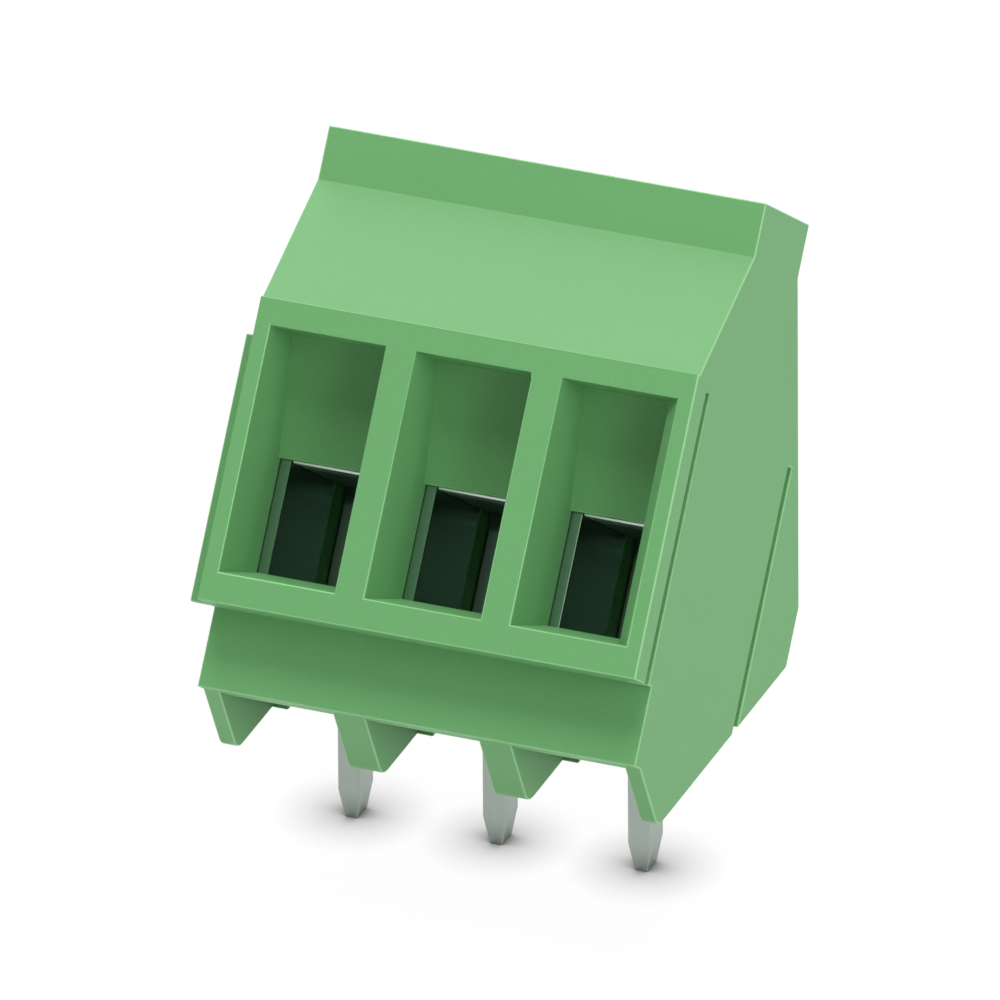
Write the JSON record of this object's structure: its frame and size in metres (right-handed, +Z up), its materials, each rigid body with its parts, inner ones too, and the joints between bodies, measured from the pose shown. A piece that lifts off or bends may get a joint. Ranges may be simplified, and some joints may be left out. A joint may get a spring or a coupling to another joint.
{
  "type": "pcb screw terminal",
  "caption": "Screw terminal for a circuit board with slanted wire pockets, rising-cage clamps and a slanted screw ridge.",
  "frame": {"origin": "where the middle solder pin's axis crosses the circuit board's surface", "axes": "+X along the row of poles, to the right seen from the wire side, +Y from the wire side to the back, +Z up from the board"},
  "size_m": [0.0158, 0.0158, 0.0227],
  "materials": {
    "housing": "fine matte, moulded, green",
    "contact": "dull tin plating",
    "sleeve": "smooth nickel plating",
    "screw": "zinc plated"
  },
  "bodies": {
    "root": {"housing": "housing", "contact_1": "contact", "contact_2": "contact", "contact_3": "contact"},
    "sleeve_1": {"tension_sleeve_1": "sleeve"},
    "screw_1": {"clamp_screw_1": "screw"},
    "sleeve_2": {"tension_sleeve_2": "sleeve"},
    "screw_2": {"clamp_screw_2": "screw"},
    "sleeve_3": {"tension_sleeve_3": "sleeve"},
    "screw_3": {"clamp_screw_3": "screw"}
  },
  "joints": [
    {"name": "screw_turn_1", "type": "hinge", "parent": "root", "child": "screw_1", "pos_m": [-0.00508, 0.00375, 0.01278], "axis": [0, -0.5736, -0.8192], "range_deg": [0, 2929]},
    {"name": "sleeve_slide_1", "type": "slide", "parent": "root", "child": "sleeve_1", "axis": [0, 0.5736, 0.8192], "range_m": [0, 0.00366]},
    {"name": "screw_turn_2", "type": "hinge", "parent": "root", "child": "screw_2", "pos_m": [0, 0.00375, 0.01278], "axis": [0, -0.5736, -0.8192], "range_deg": [0, 2929]},
    {"name": "sleeve_slide_2", "type": "slide", "parent": "root", "child": "sleeve_2", "axis": [0, 0.5736, 0.8192], "range_m": [0, 0.00366]},
    {"name": "screw_turn_3", "type": "hinge", "parent": "root", "child": "screw_3", "pos_m": [0.00508, 0.00375, 0.01278], "axis": [0, -0.5736, -0.8192], "range_deg": [0, 2929]},
    {"name": "sleeve_slide_3", "type": "slide", "parent": "root", "child": "sleeve_3", "axis": [0, 0.5736, 0.8192], "range_m": [0, 0.00366]}
  ],
  "couplings": [
    {"joint": "screw_turn_1", "follows": "sleeve_slide_1", "rad_per_m": 13963},
    {"joint": "screw_turn_2", "follows": "sleeve_slide_2", "rad_per_m": 13963},
    {"joint": "screw_turn_3", "follows": "sleeve_slide_3", "rad_per_m": 13963}
  ]
}
